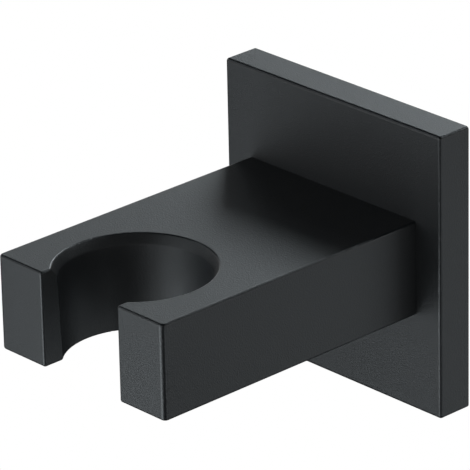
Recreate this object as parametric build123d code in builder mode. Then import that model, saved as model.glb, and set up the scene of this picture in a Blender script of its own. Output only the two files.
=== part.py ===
from build123d import *
import os
from math import radians, tan

# A fixed holder for a hand shower: a square plate on the wall and a straight arm whose end is a
# fork. The handset's cone drops into a conical cradle, and its hose passes through the slot.
# The wall is the plane Y = 0, the arm stands out of it towards -Y, and Z is up.
# The origin is on the wall, in line with the middle of the arm. All sizes are in millimetres.

# Wall plate, whose middle lies a little below the middle of the arm
plate_side = 45.0
plate_thick = 6.0
plate_drop = 0.4
plate_edge_r = 0.5
plate_back_r = 0.2
lip_width = 4.0
recess_corner_r = 3.0

# Arm, of one section from the plate to the tips of the fork
arm_width = 35.0
arm_height = 15.0
arm_length = 50.0
arm_edge_r = 0.4
arm_corner_r = 0.8

# Cradle: a tapered seat with a steeper lead-in above it, and the slot for the hose
cradle_from_tip = 10.8
seat_top_r = 11.2
seat_half_angle = 1.5
seat_shoulder_r = 0.8
lead_in_depth = 1.5
lead_in_angle = 30.0
slot_width = 16.0
cradle_edge_r = 0.4

# Bracket on the wall, which fills the recess behind the plate and reaches into the arm
bracket_thick = 3.0
bracket_front_gap = 0.2
bracket_side_gap = 0.5
bracket_edge = 0.4
spigot_width = 14.0
spigot_height = 8.0
spigot_reach = 13.0
spigot_edge = 0.6
spigot_gap = 0.1
socket_end_gap = 0.5
window_gap = 0.4

# Slots in the bracket for the two wall screws, one above the spigot and one below it
wall_slot_spacing = 23.0
wall_slot_width = 4.5
wall_slot_length = 7.0
wall_head_width = 8.6

# Countersunk screws that hold the arm to the plate, put in from the recess
arm_screw_spacing = 25.0
arm_screw_r = 2.0
arm_screw_length = 10.0
arm_screw_tip = 0.4
arm_screw_head_r = 4.2
arm_screw_head_rim = 0.3
arm_screw_sink = 0.1
arm_screw_hole_r = 2.25
thread_gap = 0.05
tapped_extra = 1.5
drill_angle = 118.0
cross_length = 4.2
cross_width = 0.9
cross_depth = 1.4
cross_taper = 6.0

# Socket screw from below, whose point draws the holder against the wall
grub_r = 2.0
grub_length = 4.0
grub_edge = 0.3
grub_point_r = 0.2
grub_from_plate = 7.0
grub_pull = 0.2
grub_key_flats = 2.0
grub_key_depth = 1.5
groove_depth = 1.2

# Places and sizes that follow from the values above
half_height = arm_height / 2
tip_y = -(plate_thick + arm_length)
cradle_y = tip_y + cradle_from_tip
shoulder_z = half_height - lead_in_depth
mouth_r = seat_top_r + lead_in_depth * tan(radians(lead_in_angle))
seat_bottom_r = seat_top_r - (arm_height - lead_in_depth) * tan(radians(seat_half_angle))
recess_side = plate_side - 2 * lip_width
recess_depth = bracket_thick + bracket_front_gap
screw_x = arm_screw_spacing / 2
screw_top_y = -(recess_depth + arm_screw_sink)
screw_cone_y = screw_top_y - arm_screw_head_rim
screw_tip_y = screw_top_y - arm_screw_length
tapped_r = arm_screw_r + thread_gap
tapped_end_y = screw_tip_y - tapped_extra
tapped_point = tapped_r / tan(radians(drill_angle / 2))
grub_y = -(plate_thick + grub_from_plate)
groove_y = grub_y + grub_pull
groove_z = -spigot_height / 2
grub_apex_z = groove_z + groove_depth - grub_pull
grub_end_z = grub_apex_z - grub_length

# Planes that face away from the wall, and the axes of the turned features
wall = Plane.XZ
plate_back = Plane((0, 0, -plate_drop), x_dir=(1, 0, 0), z_dir=(0, -1, 0))
foot_front = plate_back.offset(bracket_thick)
bracket_front = Plane.XZ.offset(bracket_thick)
plate_front = Plane.XZ.offset(plate_thick)
cradle_middle = Plane.XZ.offset(-cradle_y)
grub_middle = Plane.XZ.offset(-grub_y)
underside = Plane.XY.offset(-half_height)
cradle_axis = Axis((0, cradle_y, 0), (0, 0, 1))
grub_axis = Axis((0, grub_y, 0), (0, 0, 1))
screw_axis = Axis((screw_x, 0, 0), (0, 1, 0))


def cradle_rings():
    """The round edges of the cradle, from the lowest up."""
    rings = holder_arm.edges().filter_by(GeomType.CIRCLE)
    return rings.filter_by(lambda edge: edge.radius > slot_width / 2).sort_by(Axis.Z)


# Arm: a solid bar, forked at its end by the cradle and the hose slot
with BuildPart() as holder_arm:
    with BuildSketch(plate_front):
        Rectangle(arm_width, arm_height)
    extrude(amount=arm_length)

    # The tip's upright corners are rounded more than the long edges and the tip's level ones
    fillet(holder_arm.faces().sort_by(Axis.Y)[0].edges().filter_by(Axis.Z), arm_corner_r)
    back_edges = holder_arm.faces().sort_by(Axis.Y)[-1].edges()
    fillet(holder_arm.faces().filter_by(Plane.XY).edges() - back_edges, arm_edge_r)

    # The seat narrows downwards, and the lead-in above it guides the cone in
    with BuildSketch(cradle_middle):
        with BuildLine():
            Polyline(
                (0, half_height),
                (mouth_r, half_height),
                (seat_top_r, shoulder_z),
                (seat_bottom_r, -half_height),
                (0, -half_height),
                close=True,
            )
        make_face()
    revolve(axis=cradle_axis, mode=Mode.SUBTRACT)
    with BuildSketch(underside):
        with Locations((0, (tip_y + cradle_y) / 2)):
            Rectangle(slot_width, cradle_from_tip)
    extrude(amount=arm_height, mode=Mode.SUBTRACT)

    # The line between lead-in and seat is rounded, and then every edge of the cut
    fillet(cradle_rings()[1], seat_shoulder_r)
    side_faces = holder_arm.faces().filter_by(Plane.YZ)
    slot_walls = side_faces.filter_by(lambda face: face.center().Y < cradle_y)
    fillet(slot_walls.edges() + cradle_rings()[0] + cradle_rings()[-1], cradle_edge_r)

    # Socket in the back end for the bracket's spigot
    with BuildSketch(plate_front):
        SlotOverall(spigot_width + 2 * spigot_gap, spigot_height + 2 * spigot_gap)
    extrude(amount=spigot_reach + socket_end_gap, mode=Mode.SUBTRACT)

    # Tapped holes for the two screws, each with the cone that the drill leaves
    with BuildSketch(Plane.XY):
        with BuildLine():
            Polyline(
                (screw_x, -plate_thick),
                (screw_x + tapped_r, -plate_thick),
                (screw_x + tapped_r, tapped_end_y),
                (screw_x, tapped_end_y - tapped_point),
                close=True,
            )
        make_face()
    tapped_hole = revolve(axis=screw_axis, mode=Mode.SUBTRACT)
    mirror(tapped_hole, about=Plane.YZ, mode=Mode.SUBTRACT)

    # Tapped hole for the socket screw, from below up into the spigot's socket
    with BuildSketch(underside):
        with Locations((0, grub_y)):
            Circle(grub_r + thread_gap)
    extrude(amount=half_height, mode=Mode.SUBTRACT)


# Wall plate: a square cover with a recess behind it for the bracket
with BuildPart() as wall_plate:
    with BuildSketch(plate_back):
        Rectangle(plate_side, plate_side)
    extrude(amount=plate_thick)
    back_edges = wall_plate.faces().sort_by(Axis.Y)[-1].edges()
    fillet(wall_plate.edges() - back_edges, plate_edge_r)
    fillet(wall_plate.faces().sort_by(Axis.Y)[-1].edges(), plate_back_r)
    with BuildSketch(plate_back):
        RectangleRounded(recess_side, recess_side, recess_corner_r)
    extrude(amount=recess_depth, mode=Mode.SUBTRACT)

    # Window for the spigot, and countersunk holes for the screws into the arm
    with BuildSketch(wall):
        SlotOverall(spigot_width + 2 * window_gap, spigot_height + 2 * window_gap)
    extrude(amount=plate_thick, mode=Mode.SUBTRACT)
    with Locations(Plane((0, screw_cone_y, 0), x_dir=(1, 0, 0), z_dir=(0, 1, 0))):
        with GridLocations(arm_screw_spacing, 0, 2, 1):
            CounterSinkHole(arm_screw_hole_r, arm_screw_head_r, plate_thick, 90)


# Bracket: a square foot on the wall with a spigot that carries the arm
with BuildPart() as wall_bracket:
    bracket_side = recess_side - 2 * bracket_side_gap
    with BuildSketch(plate_back):
        RectangleRounded(bracket_side, bracket_side, recess_corner_r - bracket_side_gap)
    extrude(amount=bracket_thick)
    chamfer(wall_bracket.faces().sort_by(Axis.Y)[0].edges(), bracket_edge)
    with BuildSketch(bracket_front):
        SlotOverall(spigot_width, spigot_height)
    extrude(amount=plate_thick - bracket_thick + spigot_reach)
    chamfer(wall_bracket.faces().sort_by(Axis.Y)[0].edges(), spigot_edge)

    # Slots for the wall screws, countersunk along their whole length
    with BuildSketch(foot_front):
        with GridLocations(0, wall_slot_spacing, 1, 2):
            SlotOverall(wall_slot_length, wall_slot_width, rotation=90)
    extrude(amount=-bracket_thick, mode=Mode.SUBTRACT)
    with BuildSketch(foot_front):
        with GridLocations(0, wall_slot_spacing, 1, 2):
            head_room = wall_head_width - wall_slot_width
            SlotOverall(wall_slot_length + head_room, wall_head_width, rotation=90)
    extrude(amount=-head_room / 2, taper=45, mode=Mode.SUBTRACT)

    # Groove across the underside of the spigot, a little nearer the wall than the screw's point
    with BuildSketch(Plane.YZ):
        with BuildLine():
            Polyline(
                (groove_y - groove_depth, groove_z),
                (groove_y, groove_z + groove_depth),
                (groove_y + groove_depth, groove_z),
                close=True,
            )
        make_face()
    extrude(amount=spigot_width / 2, both=True, mode=Mode.SUBTRACT)


# Screws between plate and arm: two alike, with flat heads and a cross recess
with BuildPart() as arm_screws:
    with BuildSketch(Plane.XY):
        with BuildLine():
            head_cone = arm_screw_head_r - arm_screw_r
            Polyline(
                (screw_x, screw_top_y),
                (screw_x + arm_screw_head_r, screw_top_y),
                (screw_x + arm_screw_head_r, screw_cone_y),
                (screw_x + arm_screw_r, screw_cone_y - head_cone),
                (screw_x + arm_screw_r, screw_tip_y + arm_screw_tip),
                (screw_x + arm_screw_r - arm_screw_tip, screw_tip_y),
                (screw_x, screw_tip_y),
                close=True,
            )
        make_face()
    revolve(axis=screw_axis)
    with BuildSketch(Plane.XZ.offset(-screw_top_y)):
        with Locations((screw_x, 0)):
            Rectangle(cross_length, cross_width)
            Rectangle(cross_width, cross_length)
    extrude(amount=cross_depth, taper=cross_taper, mode=Mode.SUBTRACT)
    mirror(about=Plane.YZ)


# Socket screw: a short set screw with a cone point and a hexagon socket
with BuildPart() as grub_screw:
    with BuildSketch(grub_middle):
        with BuildLine():
            Polyline(
                (0, grub_end_z),
                (grub_r - grub_edge, grub_end_z),
                (grub_r, grub_end_z + grub_edge),
                (grub_r, grub_apex_z - grub_r),
                (grub_point_r, grub_apex_z - grub_point_r),
                (0, grub_apex_z - grub_point_r),
                close=True,
            )
        make_face()
    revolve(axis=grub_axis)
    with BuildSketch(Plane.XY.offset(grub_end_z)):
        with Locations((0, grub_y)):
            RegularPolygon(grub_key_flats / 2, 6, major_radius=False)
    extrude(amount=grub_key_depth, mode=Mode.SUBTRACT)


os.makedirs("parts", exist_ok=True)

holder_arm.part.label = "holder_arm"
wall_plate.part.label = "wall_plate"
wall_bracket.part.label = "wall_bracket"
arm_screws.part.label = "arm_screws"
grub_screw.part.label = "grub_screw"

export_step(holder_arm.part, "parts/holder_arm.step")
export_step(wall_plate.part, "parts/wall_plate.step")
export_step(wall_bracket.part, "parts/wall_bracket.step")
export_step(arm_screws.part, "parts/arm_screws.step")
export_step(grub_screw.part, "parts/grub_screw.step")
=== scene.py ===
from math import cos, pi, radians, sin

import bpy
from mathutils import Matrix, Vector


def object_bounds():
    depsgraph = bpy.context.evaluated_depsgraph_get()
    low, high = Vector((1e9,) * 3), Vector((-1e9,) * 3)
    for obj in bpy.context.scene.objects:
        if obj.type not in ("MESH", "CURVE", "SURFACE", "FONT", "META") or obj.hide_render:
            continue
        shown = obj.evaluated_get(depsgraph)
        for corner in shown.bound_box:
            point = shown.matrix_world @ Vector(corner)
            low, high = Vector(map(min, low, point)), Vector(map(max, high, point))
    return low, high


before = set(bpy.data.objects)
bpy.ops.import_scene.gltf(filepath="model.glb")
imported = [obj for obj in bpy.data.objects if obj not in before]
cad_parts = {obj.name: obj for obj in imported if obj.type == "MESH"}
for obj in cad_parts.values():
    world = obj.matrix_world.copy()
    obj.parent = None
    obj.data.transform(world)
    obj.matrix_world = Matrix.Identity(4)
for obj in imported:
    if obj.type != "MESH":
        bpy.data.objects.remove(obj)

# The looks of a wall holder for a hand shower: a forked arm and a square plate in black enamel
# on brass, hung on a stainless steel bracket. Everything is in metres, in the frame of the model:
# +Z is up, +Y points into the wall, and the arm stands out along -Y.
MM = 0.001
cad_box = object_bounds()
HOLDER_MIDDLE = Vector((0.0, -28.0, 0.0)) * MM
CRADLE_MIDDLE = Vector((0.0, -45.2, 0.0)) * MM
CRADLE_RADIUS = 12.0 * MM

# Smoothing: seams narrower than this are closed, and edges sharper than this stay sharp
SEAM_WIDTH = 0.0005 * MM
SHARP_EDGE = 32

# Black enamel. Its grain is about 0.06 mm wide on the real coat and is drawn four times as
# coarse, or it wouldn't show
GRAIN_WIDTH = 0.24 * MM
GRAIN_DEPTH = 0.044 * MM
FACE_ROUGHNESS = 0.5
EDGE_ROUGHNESS = 0.28
# How squarely a surface faces an axis where an edge's rounding has fully begun, and where it ends
ROUNDED = 0.97
FLAT = 0.997

# Steel: the brushed scratches of the bracket, and the wavy skin of the screws
SCRATCH_WIDTH = 0.1 * MM
SCRATCH_LENGTH = 6.0 * MM
SCRATCH_DEPTH = 0.02 * MM
SKIN_WAVE = 0.5 * MM
SKIN_DEPTH = 0.01 * MM

# Camera, as the photograph was taken: a long lens, a little above the arm and to its right.
# The azimuth is measured from the front towards the right.
CAMERA_AIM = Vector((2.532, -28.0, 7.725)) * MM
CAMERA_AZIMUTH = 47.202
CAMERA_ELEVATION = 23.819
CAMERA_ROLL = -1.272
CAMERA_DISTANCE = 670.9 * MM
CAMERA_SENSOR = 36.0
CAMERA_LENS = 355.56

# Studio: the floor lies well below the holder, which hangs on a wall
FLOOR_DROP = 0.6
FLOOR_SIZE = 12.0
ROOM_BRIGHTNESS = 0.6

# Softboxes: azimuth, anticlockwise from +X, elevation, distance, width, height and brightness,
# where 1 is white. Those for the edges show in their rounding and hardly on the flat faces.
SOFTBOXES = {
    "rear_softbox": (125, 29, 0.90, 0.30, 0.24, 8.35),
    "low_rear_softbox": (150, 14, 0.30, 0.06, 0.05, 2.2),
    "left_softbox": (-106, 0, 0.26, 0.08, 0.42, 2.9),
    "low_left_softbox": (-106, -32, 0.26, 0.08, 0.10, 2.5),
    "corner_softbox": (-125, -18, 0.26, 0.10, 0.12, 2.45),
    "right_softbox": (47, -12, 0.60, 1.10, 0.20, 0.68),
    "low_right_softbox": (50, -30, 0.25, 0.12, 0.10, 1.04),
    "front_upright_edges": (-85, -24, 0.50, 0.24, 0.30, 1.8),
    "side_upright_edges": (0, -24, 0.50, 0.14, 0.26, 1.5),
    "front_top_edges": (-149, 32, 0.90, 0.40, 0.36, 1.3),
    "side_top_edges": (68, 44, 0.90, 0.26, 0.26, 9.0),
}
# The softboxes are a little cool, like the daylight in the photograph
DAYLIGHT = "F0FAFF"
# Level black cards, above and below the holder, by their height over the middle of the arm
BLACK_CARDS = {"black_ceiling": 0.6, "black_table": -0.58}
CARD_SIZE = 6.0


def linear(code):
    """The linear colour of an sRGB hex value, with an alpha of 1."""
    shares = [int(code[i:i + 2], 16) / 255 for i in (0, 2, 4)]
    return tuple(s / 12.92 if s <= 0.04045 else ((s + 0.055) / 1.055) ** 2.4 for s in shares) + (1.0,)


def add_node(tree, kind, inputs=None, **settings):
    """Adds a node with its settings. An input is a value, or the output that it is linked to."""
    node = tree.nodes.new(kind)
    for name, value in settings.items():
        setattr(node, name, value)
    for name, value in (inputs or {}).items():
        if isinstance(value, bpy.types.NodeSocket):
            tree.links.new(value, node.inputs[name])
        else:
            node.inputs[name].default_value = value
    return node


def empty_material(name):
    """A material with an empty node tree."""
    material = bpy.data.materials.new(name)
    material.use_nodes = True
    material.node_tree.nodes.clear()
    return material


def edge_share(tree, surface):
    """1 on the rounded edges, 0 on the flat faces and in the cradle, which is turned as smooth as
    the faces. A rounded edge faces none of the three directions of the flat faces."""
    facing = add_node(tree, "ShaderNodeVectorMath", {0: surface.outputs["Normal"]}, operation="ABSOLUTE")
    parts = add_node(tree, "ShaderNodeSeparateXYZ", {"Vector": facing.outputs["Vector"]})
    wider = add_node(tree, "ShaderNodeMath", {
        0: parts.outputs["X"], 1: parts.outputs["Y"]}, operation="MAXIMUM")
    flatness = add_node(tree, "ShaderNodeMath", {
        0: wider.outputs[0], 1: parts.outputs["Z"]}, operation="MAXIMUM")
    edge = add_node(tree, "ShaderNodeMapRange", {
        "Value": flatness.outputs[0], "From Min": ROUNDED, "From Max": FLAT,
        "To Min": 1.0, "To Max": 0.0})
    level = add_node(tree, "ShaderNodeVectorMath", {
        0: surface.outputs["Object"], 1: (1.0, 1.0, 0.0)}, operation="MULTIPLY")
    radius = add_node(tree, "ShaderNodeVectorMath", {
        0: level.outputs["Vector"], 1: CRADLE_MIDDLE}, operation="DISTANCE")
    outside = add_node(tree, "ShaderNodeMath", {
        0: radius.outputs["Value"], 1: CRADLE_RADIUS}, operation="GREATER_THAN")
    return add_node(tree, "ShaderNodeMath", {
        0: edge.outputs["Result"], 1: outside.outputs[0]}, operation="MULTIPLY").outputs[0]


def baked_black_enamel():
    """Satin black baked enamel on machined brass, sprayed thin: near black, with a broad soft gloss
    and a fine grain that shows where light glances off a face. The rounded edges keep less of it
    and are glossier, so that they draw thin light and dark lines."""
    material = empty_material("baked_black_enamel")
    tree = material.node_tree
    surface = add_node(tree, "ShaderNodeTexCoord")
    grain = add_node(tree, "ShaderNodeTexNoise", {
        "Vector": surface.outputs["Object"], "Scale": 1 / GRAIN_WIDTH, "Detail": 2.0,
        "Roughness": 0.6})
    bump = add_node(tree, "ShaderNodeBump", {
        "Height": grain.outputs["Fac"], "Strength": 1.0, "Distance": GRAIN_DEPTH})
    roughness = add_node(tree, "ShaderNodeMapRange", {
        "Value": edge_share(tree, surface), "To Min": FACE_ROUGHNESS, "To Max": EDGE_ROUGHNESS})
    coat = add_node(tree, "ShaderNodeBsdfPrincipled", {
        "Base Color": linear("101214"), "Roughness": roughness.outputs["Result"], "IOR": 1.5,
        "Normal": bump.outputs["Normal"]})
    add_node(tree, "ShaderNodeOutputMaterial", {"Surface": coat.outputs["BSDF"]})
    return material


def brushed_stainless_steel():
    """Stamped stainless steel with a brushed face: fine upright scratches that streak the gloss."""
    material = empty_material("brushed_stainless_steel")
    tree = material.node_tree
    place = add_node(tree, "ShaderNodeTexCoord").outputs["Object"]
    stretched = add_node(tree, "ShaderNodeMapping", {
        "Vector": place, "Scale": (1 / SCRATCH_WIDTH, 1 / SCRATCH_WIDTH, 1 / SCRATCH_LENGTH)})
    scratches = add_node(tree, "ShaderNodeTexNoise", {
        "Vector": stretched.outputs["Vector"], "Scale": 1.0, "Detail": 3.0})
    bump = add_node(tree, "ShaderNodeBump", {
        "Height": scratches.outputs["Fac"], "Strength": 0.2, "Distance": SCRATCH_DEPTH})
    steel = add_node(tree, "ShaderNodeBsdfPrincipled", {
        "Base Color": linear("B9B8B4"), "Metallic": 1.0, "Roughness": 0.32,
        "Normal": bump.outputs["Normal"]})
    add_node(tree, "ShaderNodeOutputMaterial", {"Surface": steel.outputs["BSDF"]})
    return material


def cold_formed_screw_steel():
    """Stainless screws, pressed and rolled from wire: a bright, slightly wavy skin, smoother than
    the sheet of the bracket."""
    material = empty_material("cold_formed_screw_steel")
    tree = material.node_tree
    place = add_node(tree, "ShaderNodeTexCoord").outputs["Object"]
    skin = add_node(tree, "ShaderNodeTexNoise", {
        "Vector": place, "Scale": 1 / SKIN_WAVE, "Detail": 1.0})
    bump = add_node(tree, "ShaderNodeBump", {
        "Height": skin.outputs["Fac"], "Strength": 0.3, "Distance": SKIN_DEPTH})
    steel = add_node(tree, "ShaderNodeBsdfPrincipled", {
        "Base Color": linear("ADACA9"), "Metallic": 1.0, "Roughness": 0.24,
        "Normal": bump.outputs["Normal"]})
    add_node(tree, "ShaderNodeOutputMaterial", {"Surface": steel.outputs["BSDF"]})
    return material


def smooth_faces():
    """Modifier nodes that close the seams between the model's faces and smooth all but sharp edges."""
    group = bpy.data.node_groups.new("smooth_faces", "GeometryNodeTree")
    group.is_modifier = True
    group.interface.new_socket("Geometry", in_out="INPUT", socket_type="NodeSocketGeometry")
    group.interface.new_socket("Geometry", in_out="OUTPUT", socket_type="NodeSocketGeometry")
    start = add_node(group, "NodeGroupInput")
    closed = add_node(group, "GeometryNodeMergeByDistance", {
        "Geometry": start.outputs["Geometry"], "Distance": SEAM_WIDTH})
    angle = add_node(group, "GeometryNodeInputMeshEdgeAngle")
    blunt = add_node(group, "FunctionNodeCompare", {
        "A": angle.outputs["Unsigned Angle"], "B": radians(SHARP_EDGE)}, operation="LESS_THAN")
    faces = add_node(group, "GeometryNodeSetShadeSmooth", {
        "Geometry": closed.outputs["Geometry"], "Shade Smooth": True}, domain="FACE")
    edges = add_node(group, "GeometryNodeSetShadeSmooth", {
        "Geometry": faces.outputs["Geometry"], "Shade Smooth": blunt.outputs["Result"]},
        domain="EDGE")
    add_node(group, "NodeGroupOutput", {"Geometry": edges.outputs["Geometry"]})
    return group


def finish_nodes(names, material, smoothing):
    """Gives nodes of the model their material and smooth shading. The normals that come with the
    mesh go, because they would overrule the smoothing."""
    for name in names:
        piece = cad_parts[name]
        if "custom_normal" in piece.data.attributes:
            piece.data.attributes.remove(piece.data.attributes["custom_normal"])
        piece.data.materials.clear()
        piece.data.materials.append(material)
        modifier = piece.modifiers.new("smooth_faces", "NODES")
        modifier.node_group = smoothing
        weighted = piece.modifiers.new("flat_faces_stay_flat", "WEIGHTED_NORMAL")
        weighted.keep_sharp = True
        weighted.weight = 100


def add_camera():
    """The camera that took the photograph, turned by its roll about the line of sight."""
    azimuth, elevation, roll = map(radians, (CAMERA_AZIMUTH, CAMERA_ELEVATION, CAMERA_ROLL))
    back = Vector((sin(azimuth) * cos(elevation), -cos(azimuth) * cos(elevation), sin(elevation)))
    level = Vector((cos(azimuth), sin(azimuth), 0.0))
    upright = back.cross(level)
    right = cos(roll) * level + sin(roll) * upright
    up = back.cross(right)
    lens = bpy.data.cameras.new("camera")
    lens.sensor_width = CAMERA_SENSOR
    lens.lens = CAMERA_LENS
    lens.clip_start = 0.01
    lens.clip_end = 50.0
    camera = bpy.data.objects.new("camera", lens)
    turn = Matrix((right, up, back)).transposed().to_4x4()
    camera.matrix_world = Matrix.Translation(CAMERA_AIM + back * CAMERA_DISTANCE) @ turn
    bpy.context.collection.objects.link(camera)
    bpy.context.scene.camera = camera


def seen_white(tree):
    """1 for the rays that see the background: from the camera, from gloss and through glass."""
    path = add_node(tree, "ShaderNodeLightPath")
    either = add_node(tree, "ShaderNodeMath", {
        0: path.outputs["Is Camera Ray"], 1: path.outputs["Is Glossy Ray"]}, operation="MAXIMUM")
    return add_node(tree, "ShaderNodeMath", {
        0: either.outputs[0], 1: path.outputs["Is Transmission Ray"]}, operation="MAXIMUM").outputs[0]


def add_level_square(name, size, place, material):
    """A level square for the studio, by its middle."""
    half = size / 2
    mesh = bpy.data.meshes.new(name)
    mesh.from_pydata([(-half, -half, 0), (half, -half, 0), (half, half, 0), (-half, half, 0)],
                     [], [(0, 1, 2, 3)])
    mesh.materials.append(material)
    square = bpy.data.objects.new(name, mesh)
    square.location = place
    bpy.context.collection.objects.link(square)
    return square


def add_floor():
    """A pale floor, plain white where the background shows and matt where light falls on it."""
    material = empty_material("pale_floor")
    tree = material.node_tree
    paint = add_node(tree, "ShaderNodeBsdfDiffuse", {"Color": linear("F2F2F0")})
    glow = add_node(tree, "ShaderNodeEmission", {"Color": linear("FFFFFF"), "Strength": 1.0})
    both = add_node(tree, "ShaderNodeMixShader", {
        0: seen_white(tree), 1: paint.outputs["BSDF"], 2: glow.outputs["Emission"]})
    add_node(tree, "ShaderNodeOutputMaterial", {"Surface": both.outputs["Shader"]})
    add_level_square("floor", FLOOR_SIZE, (0, 0, cad_box[0].z - FLOOR_DROP), material)


def add_black_card(name, height):
    """A level black card that shows in the gloss alone: it keeps the white room out of it."""
    material = empty_material(name)
    cloth = add_node(material.node_tree, "ShaderNodeBsdfDiffuse", {"Color": linear("0A0A0A")})
    add_node(material.node_tree, "ShaderNodeOutputMaterial", {"Surface": cloth.outputs["BSDF"]})
    card = add_level_square(name, CARD_SIZE, HOLDER_MIDDLE + Vector((0, 0, height)), material)
    card.visible_camera = False
    card.visible_diffuse = False
    card.visible_shadow = False


def add_softbox(name, azimuth, elevation, distance, width, height, brightness):
    """A rectangular lamp that faces the middle of the holder and stays out of the picture."""
    light = bpy.data.lights.new(name, "AREA")
    light.shape = "RECTANGLE"
    light.size = width
    light.size_y = height
    light.energy = brightness * pi * width * height
    light.color = linear(DAYLIGHT)[:3]
    softbox = bpy.data.objects.new(name, light)
    a, e = radians(azimuth), radians(elevation)
    outward = Vector((cos(a) * cos(e), sin(a) * cos(e), sin(e)))
    softbox.location = HOLDER_MIDDLE + outward * distance
    softbox.rotation_euler = outward.to_track_quat("Z", "Y").to_euler()
    softbox.visible_camera = False
    bpy.context.collection.objects.link(softbox)


def light_world():
    """White to the rays that see the background, and a pale grey room to the others."""
    world = bpy.data.worlds.new("studio")
    bpy.context.scene.world = world
    world.use_nodes = True
    tree = world.node_tree
    tree.nodes.clear()
    room = add_node(tree, "ShaderNodeBackground", {
        "Color": linear("FFFFFF"), "Strength": ROOM_BRIGHTNESS})
    white = add_node(tree, "ShaderNodeBackground", {"Color": linear("FFFFFF"), "Strength": 1.0})
    both = add_node(tree, "ShaderNodeMixShader", {
        0: seen_white(tree), 1: room.outputs["Background"], 2: white.outputs["Background"]})
    add_node(tree, "ShaderNodeOutputWorld", {"Surface": both.outputs["Shader"]})


bpy.context.scene.view_settings.view_transform = "Standard"
smoothing = smooth_faces()
finish_nodes(("holder_arm", "wall_plate"), baked_black_enamel(), smoothing)
finish_nodes(("wall_bracket",), brushed_stainless_steel(), smoothing)
finish_nodes(("arm_screws", "grub_screw"), cold_formed_screw_steel(), smoothing)
add_camera()
add_floor()
for name, height in BLACK_CARDS.items():
    add_black_card(name, height)
for name, place in SOFTBOXES.items():
    add_softbox(name, *place)
light_world()
